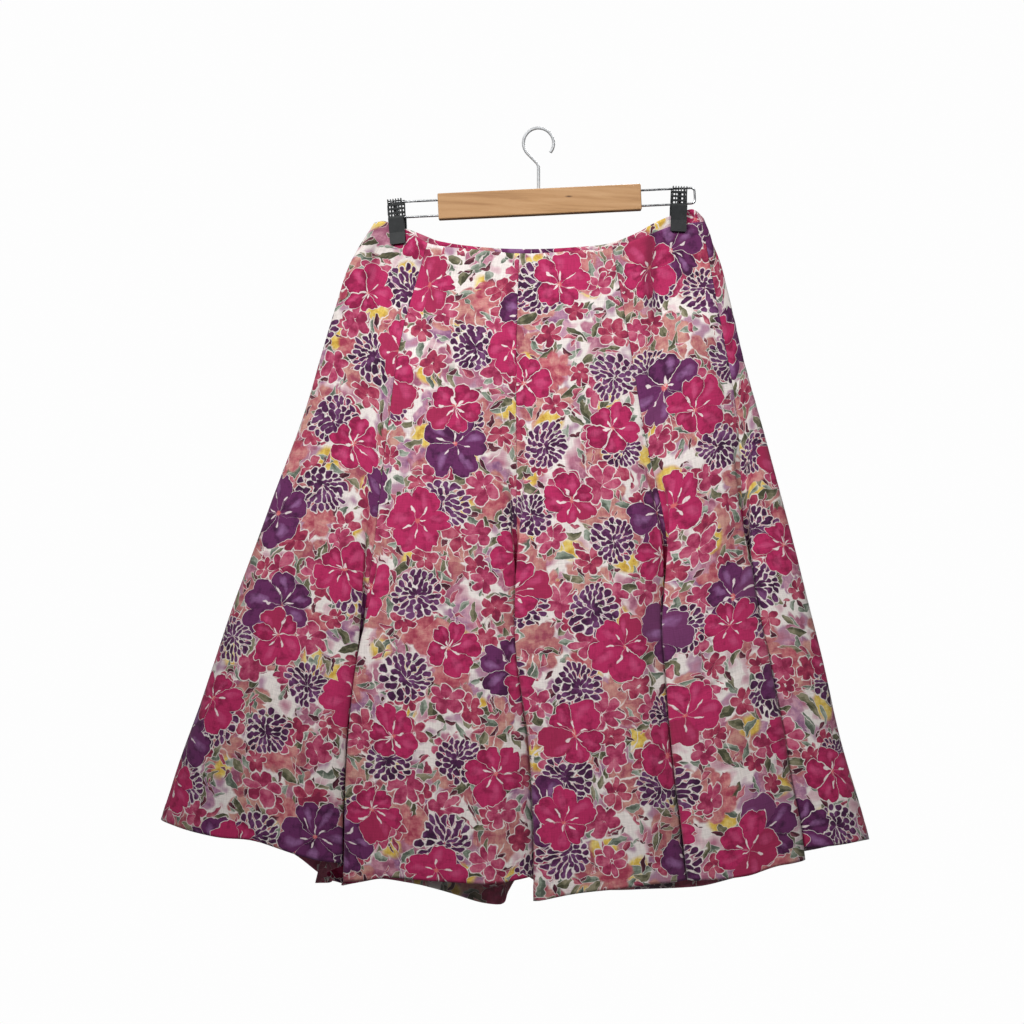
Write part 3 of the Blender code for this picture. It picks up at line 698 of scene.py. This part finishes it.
ASTERS = (
    Motif("dark_aster", 92, 0.40, 0.82, 90, 905, 12, 29, 0.2, "#331232 #50204a #70406c"),
)
FLORETS = (
    Motif("crimson_floret", 52, 0.50, 0.85, 700, 15, 50, 17, 0.3, "#7c1f3e #a03450 #b95f72"),
    Motif("raspberry_floret", 60, 0.50, 0.70, 33, 610, 5, 20, 0.3, "#862244 #a83a5e #bf647c"),
)
LEAVES = (
    Motif("sage_leaf", 23, 0.70, 0.80, 310, 44, 15, 13, 0.4, "#535b50 #7b8576 #a0a79b"),
    Motif("olive_leaf", 27, 0.70, 0.75, 17, 270, 60, 16, 0.4, "#434331 #6b6850 #8f8870"),
    Motif("dark_bud", 23, 0.75, 0.75, 160, 731, 33, 9, 0.4, "#3f1826 #5f2c3a #7f4a54"),
    Motif("crimson_petal", 21, 0.80, 0.60, 55, 401, 71, 9, 0.4, "#843048 #ab5064 #c67a84"),
)
PATCHES = (
    Motif("ochre_patch", 60, 0.70, 0.66, 450, 120, 22, 15, 0.4, "#ba8f36 #d6b655 #e2d08c"),
)


def scatter(tree, place, motif):
    """Polar place in the nearest cell of a motif: rho in mm, turn in 0..2 pi, its size, keep (0 or
    1), and the cell's random numbers."""
    at = add(
        tree, "ShaderNodeMapping",
        [place, (motif.x, motif.y, 0), (0, 0, math.radians(motif.turn))], vector_type="POINT",
    )
    cells = add(
        tree, "ShaderNodeTexVoronoi",
        {"Vector": at, "Scale": 1 / motif.spacing, "Randomness": motif.scatter},
        out=None, voronoi_dimensions="2D", feature="F1", label=motif.name,
    )
    local = add(tree, VECTOR, [at, cells.outputs["Position"]], operation="SUBTRACT")
    xyz = add(tree, "ShaderNodeSeparateXYZ", [local], out=None)
    random = add(tree, "ShaderNodeSeparateColor", [cells.outputs["Color"]], out=None)
    known = dict(zip("xy", xyz.outputs)) | dict(zip(("red", "green", "blue"), random.outputs))
    known["rho"] = add(tree, VECTOR, [local], out=1, operation="LENGTH")
    return work_out(tree, known,
        ("angle", "ARCTAN2", "y", "x"),
        ("angle", "*+", "red", 2 * math.pi, "angle"),
        ("swing", "*+", "green", 40, "angle"),
        ("swing", "SINE", "swing"),
        ("angle", "*+", "swing", 0.22, "angle"),
        ("turn", "WRAP", "angle", 2 * math.pi, 0),
        ("size", "*+", "blue", -motif.size * motif.vary, motif.size),
        ("keep", "LESS_THAN", "green", motif.share),
    )


def petals_of(tree, known, count, tag=""):
    """Splits the turn into petals: which one, how far aside of its middle line (0..0.5), and a
    random number for each petal of each flower."""
    work_out(tree, known,
        (f"step{tag}", "*", "turn", count / (2 * math.pi)),
        (f"id{tag}", "FLOOR", f"step{tag}"),
        (f"part{tag}", "FRACT", f"step{tag}"),
        (f"part{tag}", "-", f"part{tag}", 0.5),
        (f"aside{tag}", "ABSOLUTE", f"part{tag}"),
        ("seed", "*+", "blue", 71.3, f"id{tag}"),
    )
    seed = {"W": known["seed"]}
    known[f"random{tag}"] = add(tree, "ShaderNodeTexWhiteNoise", seed, noise_dimensions="1D")


def tone_steps(random, blotch):
    """Steps for a tone that varies from petal to petal and with the wet blotches."""
    return ("tone", "*+", random, 0.3, -0.15), ("tone", "+", "tone", blotch)


def tones(tree, tone, motif):
    """A motif's colours along its tone."""
    return ramp(tree, tone, list(zip(SHADES, motif.colours.split())))


def laid(tree, below, known, colour, motif_edge=EDGE, outline=OUTLINE):
    """Lays a motif over what is below: a pale outline first, then its colour.  inside is how far a
    point lies inside the motif, in mm."""
    if outline:
        work_out(tree, known,
            ("rim", "+", "inside", outline),
            ("rim", "*+!", "rim", 1 / EDGE, 0.5),
            ("rim", "*", "rim", "keep"),
        )
        below = mixed(tree, known["rim"], below, GROUND)
    work_out(tree, known,
        ("cover", "*+!", "inside", 1 / motif_edge, 0.5),
        ("cover", "*", "cover", "keep"),
    )
    return mixed(tree, known["cover"], below, colour)


def big_flower(tree, place, blotch, below, motif):
    """A flower of five broad petals, each dented at its tip, with cream filaments and a coral
    heart.  Its outline is size times 1 - 0.3 (2 aside)^3.4, less the dent.  A pale sheen lies in
    most petals, and the odd petal has a colour of its own."""
    known = scatter(tree, place, motif)
    petals_of(tree, known, PETALS)
    work_out(tree, known,
        ("twice", "*", "aside", 2),
        ("square", "^", "twice", 3.4),
        ("dent", "*+!", "aside", -1 / 0.14, 1),
        ("dent", "^", "dent", 1.6),
        ("reach", "*+", "square", -0.30, 1),
        ("reach", "*+", "dent", -0.10, "reach"),
        ("vary", "*+", "random", 0.26, 0.78),
        ("reach", "*", "reach", "vary"),
        ("reach", "*", "reach", "size"),
        ("inside", "-", "reach", "rho"),
        ("gap", "-", 0.5, "aside"),
        ("gap", "*", "gap", 2 * math.pi / PETALS),
        ("gap", "*", "gap", "rho"),
        ("gap", "*+", "random", 1.5, "gap"),
        ("gap", "-", "gap", 0.7),
        ("inside", "MINIMUM", "inside", "gap"),
        *tone_steps("random", blotch),
        ("rimmed", "*+!", "inside", -0.5, 1),
        ("tone", "*+", "rimmed", -0.12, "tone"),
        ("far", "/", "rho", "reach"),
        ("far", "*+", "far", 1 / 0.3, -0.6 / 0.3),
        ("far", "^", "far", 2),
        ("side", "*+", "random", -0.5, 0.2),
        ("side", "+", "side", "part"),
        ("side", "*", "side", 1 / 0.19),
        ("side", "^", "side", 2),
        ("sheen", "+", "far", "side"),
        ("sheen", "*+!", "sheen", -1, 1),
        ("sheen", "*", "sheen", blotch),
        ("sheen", "*", "sheen", 1.5),
        ("odd", "GREATER_THAN", "random", 0.91),
        ("odd", "*", "odd", 0.75),
    )
    shade, body, sheen, odd = motif.colours.split()
    colour = ramp(tree, known["tone"], ((0.25, shade), (0.55, body)))
    colour = mixed(tree, known["odd"], colour, odd)
    colour = mixed(tree, known["sheen"], colour, sheen)
    petals_of(tree, known, THREADS, "_thread")
    work_out(tree, known,
        ("aim", "*", "aside_thread", 2 * math.pi / THREADS),
        ("aim", "*", "aim", "rho"),
        ("long", "*+", "random_thread", 0.34, 0.12),
        ("long", "*", "long", "size"),
        ("left", "-", "long", "rho"),
        ("wide", "*", "aim", 1 / 1.2),
        ("wide", "^", "wide", 2),
        ("tall", "*", "left", 1 / 4.5),
        ("tall", "^", "tall", 2),
        ("tip", "+", "wide", "tall"),
        ("tip", "*+!", "tip", -2, 2.2),
        ("stalk", "*+!", "aim", -2.2, 0.9),
        ("ends", "*+!", "left", 1, 0.5),
        ("stalk", "*", "stalk", "ends"),
        ("stalk", "*", "stalk", 0.55),
        ("stalk", "MAXIMUM", "stalk", "tip"),
        ("stalk", "*", "stalk", 0.9),
        ("heart", "*+!", "rho", -0.7, 2.6),
    )
    colour = mixed(tree, known["stalk"], colour, "#e8dad8")
    colour = mixed(tree, known["heart"], colour, "#cf6468")
    return laid(tree, below, known, colour)


def bloom(tree, place, blotch, below, motif):
    """A blurred bloom with seven soft lobes, in wet colour that runs from petal to petal."""
    known = scatter(tree, place, motif)
    petals_of(tree, known, LOBES)
    work_out(tree, known,
        ("square", "^", "aside", 2),
        ("reach", "*+", "square", -1.1, 0.92),
        ("vary", "*+", "random", 0.35, 0.75),
        ("reach", "*", "reach", "vary"),
        ("reach", "*", "reach", "size"),
        ("inside", "-", "reach", "rho"),
        *tone_steps("random", blotch),
    )
    colour = tones(tree, known["tone"], motif)
    return laid(tree, below, known, colour, motif_edge=WET_EDGE, outline=0)


# Rings of drop-shaped petals, as shares of a motif's size: where their middles are, half their
# length and half their width.
Ring = namedtuple("Ring", "count middle half_long half_wide")
ASTER_RINGS = (
    Ring(8, 0.22, 0.17, 0.070),
    Ring(14, 0.52, 0.18, 0.078),
    Ring(19, 0.84, 0.17, 0.085),
)
FLORET_RINGS = (Ring(6, 0.56, 0.46, 0.23),)


def drops(tree, place, blotch, below, motif):
    """A flower of rings of drops.  Inside is the greatest, over its rings, of 1 - (off /
    half_long)^2 - (aim / half_wide)^2, times half_wide, so it is about mm."""
    known = scatter(tree, place, motif)
    best = None
    for i, ring in enumerate(ASTER_RINGS if motif in ASTERS else FLORET_RINGS):
        tag = f"_{i}"
        petals_of(tree, known, ring.count, tag)
        work_out(tree, known,
            ("share", "/", "rho", "size"),
            ("off", "*+", f"random{tag}", 0.16, ring.middle - 0.08),
            ("off", "-", "share", "off"),
            ("slim", "*+", "off", 0.55 / ring.half_long, 1.3),
            ("off", "*", "off", 1 / ring.half_long),
            ("off", "^", "off", 2),
            ("aim", "*", f"aside{tag}", 2 * math.pi / ring.count / ring.half_wide),
            ("aim", "*", "aim", "share"),
            ("aim", "/", "aim", "slim"),
            ("aim", "^", "aim", 2),
            (f"in{tag}", "+", "off", "aim"),
            (f"in{tag}", "-", 1, f"in{tag}"),
            (f"in{tag}", "*", f"in{tag}", ring.half_wide * motif.size / 2),
        )
        best = f"in{tag}" if best is None else best
        work_out(tree, known, ("inside", "MAXIMUM", best, f"in{tag}"))
        best = "inside"
    work_out(tree, known, *tone_steps("random_0", blotch))
    return laid(tree, below, known, tones(tree, known["tone"], motif))


def leaf(tree, place, blotch, below, motif):
    """A pointed, bowed leaf with one half lighter than the other: its half width is 0.36 size (1 -
    (along / size)^2)."""
    known = scatter(tree, place, motif)
    work_out(tree, known,
        ("cos", "COSINE", "turn"),
        ("sin", "SINE", "turn"),
        ("along", "*", "rho", "cos"),
        ("aside", "*", "rho", "sin"),
        ("bent", "/", "along", "size"),
        ("bent", "^", "bent", 2),
        ("bow", "*", "size", 0.12),
        ("aside", "*+", "bent", "bow", "aside"),
        ("off", "ABSOLUTE", "aside"),
        ("half", "-", 1, "bent"),
        ("half", "*", "half", "size"),
        ("half", "*", "half", 0.36),
        ("inside", "-", "half", "off"),
        ("side", "GREATER_THAN", "aside", 0),
        ("tone", "*+", "side", 0.2, -0.1),
        ("tone", "+", "tone", blotch),
        ("tone", "*+", "blue", 0.3, "tone"),
        ("tone", "-", "tone", 0.15),
    )
    return laid(tree, below, known, tones(tree, known["tone"], motif), outline=LEAF_OUTLINE)


def stems(tree, place, below):
    """Thin pale stems: the lines along which a stretched noise crosses one half, in some places."""
    drawn = scaled(tree, place, (1 / 26, 1 / 60, 0))
    known = {"height": noise(tree, drawn), "where": noise(tree, drawn, 1.7)}
    work_out(tree, known,
        ("off", "-", "height", 0.5),
        ("off", "ABSOLUTE", "off"),
        ("line", "*+!", "off", -110, 1.6),
        ("where", "*+!", "where", 12, -6),
        ("line", "*", "line", "where"),
    )
    return mixed(tree, known["line"], below, STEMS)


def patch(tree, place, blotch, below, motif):
    """A soft round patch of wet colour."""
    known = scatter(tree, place, motif)
    work_out(tree, known, ("inside", "-", "size", "rho"))
    colour = tones(tree, blotch, motif)
    return laid(tree, below, known, colour, motif_edge=PATCH_EDGE, outline=0)


def floral_print():
    """The print as a node group: watercolour flowers, asters, blooms and leaves on off-white, in
    layers from the washes up.  It reads the cloth's flat cut in mm."""
    tree = bpy.data.node_groups.new("floral_print", "ShaderNodeTree")
    tree.interface.new_socket("Color", in_out="OUTPUT", socket_type="NodeSocketColor")
    cut = add(tree, "ShaderNodeUVMap", uv_map=PRINT_UV)
    flat = scaled(tree, cut, 1 / MM)
    place = flat
    for size, shift in WANDERS:
        wander = noise(tree, flat, 1 / size, 1, out=1)
        wander = add(tree, VECTOR, [wander, (0.5, 0.5, 0.5)], operation="SUBTRACT")
        wander = scaled(tree, wander, shift * 2)
        place = add(tree, VECTOR, [place, wander], operation="ADD")
    wet = noise(tree, flat, 1 / 12, 4, Roughness=0.62)
    wet = add(tree, MATH, [wet, 1.7, -0.35], operation="MULTIPLY_ADD")
    colour = ramp(tree, noise(tree, flat, 1 / 38, 2), WASHES)
    for drawn, motifs in ((bloom, BLOOMS), (patch, PATCHES), (leaf, LEAVES)):
        for motif in motifs:
            colour = drawn(tree, place, wet, colour, motif)
    colour = stems(tree, place, colour)
    flowers = (bloom, HIGH_BLOOMS), (drops, FLORETS), (drops, ASTERS), (big_flower, BIG_FLOWERS)
    for drawn, motifs in flowers:
        for motif in motifs:
            colour = drawn(tree, place, wet, colour, motif)
    add(tree, "NodeGroupOutput", [colour], out=None)
    return tree


# -------- the finishes
# Slubs of the threads to the mm, across and down, drawn about twice as coarse as they are.
SLUBS = {"warp": (1 / 1.1, 1 / 16), "weft": (1 / 18, 1 / 1.1)}
REVERSE = "#d9cfcc"

BEECH = ((0.28, "#a4784d"), (0.48, "#bb8e60"), (0.62, "#c3976a"), (0.78, "#cda277"))
GRAIN, FLECKS = (9, 150, 150), (160, 900, 1500)  # to the metre, along the bar, through it and up
KNOT_SCALE = (1 / (4 * MM), 1, 1 / (1.1 * MM))  # one over its half length and its half height
CHARCOAL = ((0.3, "#1d1f20"), (0.7, "#2b2d2e"))


def linen(name, print_group, pale):
    """Printed linen and cotton, plain woven and matt: slubbed threads break its colour and catch a
    little light.  pale is how far the print is lost on the reverse."""
    made, tree, shader = new_material(name)
    printed = add(tree, "ShaderNodeGroup", node_tree=print_group)
    colour = mixed(tree, pale, printed, REVERSE)
    cut = add(tree, "ShaderNodeUVMap", uv_map=PRINT_UV)
    known = {}
    for thread, (across, down) in SLUBS.items():
        drawn = scaled(tree, cut, (across / MM, down / MM, 0))
        known[thread] = noise(tree, drawn, 1, 2, Roughness=0.6)
    work_out(tree, known,
        ("weave", "+", "warp", "weft"),
        ("light", "*+", "weave", 0.5, 0.5),
    )
    feed(tree, shader, {
        "Base Color": mixed(tree, 1.0, colour, known["light"], blend_type="MULTIPLY"),
        "Normal": bumped(tree, known["weave"], 0.35, 0.25 * MM),
        "Roughness": 0.88,
        "Specular IOR Level": 0.25,
        "Sheen Weight": 0.12,
        "Sheen Roughness": 0.5,
    })
    return made


def beech():
    """Lacquered beech: pale tan with fine flecks along the grain, one small dark knot, and a
    soft gloss."""
    made, tree, shader = new_material("lacquered_beech")
    place = add(tree, "ShaderNodeTexCoord", out=3)
    turned = add(
        tree, "ShaderNodeMapping",
        {0: place, "Rotation": (0, -BAR_TILT, 0)}, vector_type="TEXTURE",
    )
    growth = noise(tree, scaled(tree, turned, GRAIN), 1, 4, Roughness=0.6, Distortion=0.4)
    knot = scaled(tree, add(tree, VECTOR, [place, KNOT], operation="SUBTRACT"), KNOT_SCALE)
    known = {
        "flecks": noise(tree, scaled(tree, turned, FLECKS), 1, 1),
        "away": add(tree, VECTOR, [knot], out=1, operation="LENGTH"),
    }
    work_out(tree, known,
        ("fleck", "*+!", "flecks", -5, 1.9),
        ("fleck", "*", "fleck", 0.35),
        ("knot", "*+!", "away", -0.9, 1.2),
    )
    colour = mixed(tree, known["fleck"], ramp(tree, growth, BEECH), "#9c744b")
    feed(tree, shader, {
        "Base Color": mixed(tree, known["knot"], colour, "#5f3f26"),
        "Normal": bumped(tree, known["flecks"], 0.2, 0.1 * MM),
        "Roughness": 0.42,
        "Coat Weight": 0.25,
        "Coat Roughness": 0.25,
    })
    return made


def plated_steel(name, dark, light, roughness, mirror=1.0):
    """Steel wire, drawn and plated: bright, with faint lines from the die.  mirror is how much of
    it reflects: a satin zinc plating scatters the rest."""
    made, tree, shader = new_material(name)
    place = add(tree, "ShaderNodeTexCoord", out=3)
    known = {"wear": noise(tree, place, 260, 3)}
    work_out(tree, known, ("rough", "*+", "wear", 0.16, roughness - 0.08))
    feed(tree, shader, {
        "Base Color": ramp(tree, known["wear"], ((0.3, dark), (0.7, light))),
        "Roughness": known["rough"],
        "Metallic": mirror,
    })
    return made


def moulded_plastic():
    """Polypropylene, moulded in black: charcoal with a fine spark-eroded grain and scuffs."""
    made, tree, shader = new_material("moulded_polypropylene")
    place = add(tree, "ShaderNodeTexCoord", out=3)
    grain = noise(tree, place, 1 / (0.9 * MM), 3)
    scuffs = noise(tree, place, 160, 4, Roughness=0.7)
    feed(tree, shader, {
        "Base Color": ramp(tree, scuffs, CHARCOAL),
        "Normal": bumped(tree, grain, 0.3, 0.08 * MM),
        "Roughness": 0.5,
        "Specular IOR Level": 0.4,
    })
    return made


# -------- pieces
def declare(piece, nodes):
    """Attaches a cloth piece to its body and hides the solids it stands for."""
    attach(piece, BODY)
    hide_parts(*nodes)


def make_skirt(face, reverse):
    """The eight gores and the facing inside the back waist."""
    levels = np.linspace(0, 1, FINE_LEVELS)
    points = plain_skirt(levels)
    grids = crease_skirt(points, levels)
    for gore, flat, (grid, cut) in zip(GORES, CUTS, grids):
        place = (flat.print_x, flat.print_y)
        piece = cloth_piece(f"{gore.name}_cloth", parted(grid), cut, place, CLOTH, (face, reverse))
        declare(piece, [gore.name])
    make_facing(points, face)


def make_facing(points, face):
    """The facing inside the back waist: the back's own points, moved inwards."""
    rows = int(round(FACING_DOWN * (FINE_LEVELS - 1))) + 1
    x = points[0, :, 0]
    around = (np.arange(len(x)) + np.argmax(x)) % len(x)
    count = (np.argmin(x) - np.argmax(x)) % len(x)
    columns = around[: count + 1]
    at = x[columns]
    columns = columns[(at < x.max() - FACING_FROM_FOLD) & (at > x.min() + FACING_FROM_FOLD)]
    inwards = CLOTH_SOLID / 2 + FIT_GAP + FACING_SOLID / 2
    grid = (points - outward(points) * inwards)[:rows, columns]
    across, down = lengths(grid, 1), lengths(grid, 0)
    cut = np.stack([-across, down], -1)
    piece = cloth_piece("waist_facing_back_cloth", grid, cut, FACING_PRINT, FACING_CLOTH, (face,))
    declare(piece, ["waist_facing_back"])


def finish_hanger():
    """The hanger's own finishes, given to its solids."""
    finishes = {
        "hanger_bar": beech(),
        "hook": plated_steel("zinc_plated_hook", "#dcdedf", "#e9ebec", 0.34, 0.5),
        "wire_loop": plated_steel("chromed_wire", "#b3b5b6", "#d6d7d8", 0.25),
        "jaw": moulded_plastic(),
        "spring": plated_steel("zinc_plated_spring", "#c3c5c6", "#d4d6d7", 0.4, 0.4),
    }
    for name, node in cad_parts.items():
        for part, finish in finishes.items():
            if part in name:
                node.data.materials.clear()
                node.data.materials.append(finish)


# -------- studio
CAMERA_AT = Vector((-0.0305, -1.95, -0.4398))
HALF_VIEW = 0.5888  # half of what the camera sees across, at the hanger
SENSOR = 36
FLOOR_Z, FLOOR_RADIUS, FLOOR_POINTS = -1.75, 2.0, 96
WORLD_WHITE = 0.985
GLOW = ((0.30, "#18181a"), (0.50, "#38383a"), (0.75, "#7c7c7e"))  # of the surround, from below up

# Soft boxes with grids in front of them, which light the upper half most.
LIT_POINT = Vector((0.07, 0, -0.38))
Light = namedtuple("Light", "name place size watts spread")
LIGHTS = (
    Light("key_light", (-0.80, -1.30, 0.85), 0.7, 3.6, 50),
    Light("fill_light", (0.75, -1.45, 0.75), 0.8, 1.4, 50),
    Light("back_light", (0.60, 1.55, 0.85), 0.9, 4.5, 70),
)


def make_camera():
    """A camera straight in front of the skirt, with colours shown as they are."""
    scene = bpy.context.scene
    camera = bpy.data.objects.new("camera", bpy.data.cameras.new("camera"))
    camera.location = CAMERA_AT
    camera.rotation_euler = (math.pi / 2, 0, 0)
    camera.data.sensor_width = SENSOR
    camera.data.lens = SENSOR / 2 * -CAMERA_AT.y / HALF_VIEW
    scene.collection.objects.link(camera)
    scene.camera = camera
    scene.view_settings.view_transform = "Standard"
    scene.view_settings.look = "None"


def make_floor():
    """A pale round floor far below the hem."""
    mesh = bpy.data.meshes.new("floor")
    turn = np.linspace(0, 2 * math.pi, FLOOR_POINTS, endpoint=False)
    ring = np.stack([np.cos(turn), np.sin(turn)], -1) * FLOOR_RADIUS
    mesh.from_pydata([(x, y, FLOOR_Z) for x, y in ring], [], [range(FLOOR_POINTS)])
    floor = bpy.data.objects.new("floor", mesh)
    bpy.context.scene.collection.objects.link(floor)
    paint, tree, shader = new_material("pale_floor")
    feed(tree, shader, {"Base Color": "#ececea", "Roughness": 0.9})
    mesh.materials.append(paint)


def make_surround():
    """A surround that is white where the camera sees it and lights the rest with a grey glow."""
    world = bpy.data.worlds.new("surround")
    bpy.context.scene.world = world
    world.use_nodes = True
    tree = world.node_tree
    direction = add(tree, "ShaderNodeTexCoord", out=0)
    height = add(tree, "ShaderNodeSeparateXYZ", [direction], out=2)
    height = add(tree, MATH, [height, 0.5, 0.5], operation="MULTIPLY_ADD")
    seen = add(tree, "ShaderNodeLightPath")
    white = (WORLD_WHITE, WORLD_WHITE, WORLD_WHITE, 1)
    feed(tree, tree.nodes["Background"], {"Color": mixed(tree, seen, ramp(tree, height, GLOW), white)})


def make_lights():
    """Two soft lights in front and one behind."""
    for name, place, size, watts, spread in LIGHTS:
        data = bpy.data.lights.new(name, "AREA")
        data.shape = "SQUARE"
        data.size = size
        data.energy = watts
        data.spread = math.radians(spread)
        light = bpy.data.objects.new(name, data)
        light.location = place
        aim = LIT_POINT - Vector(place)
        light.rotation_euler = aim.to_track_quat("-Z", "Y").to_euler()
        bpy.context.scene.collection.objects.link(light)


make_camera()
make_floor()
make_surround()
make_lights()
print_group = floral_print()
make_skirt(linen("printed_linen", print_group, 0.0), linen("printed_linen_reverse", print_group, 0.15))
finish_hanger()
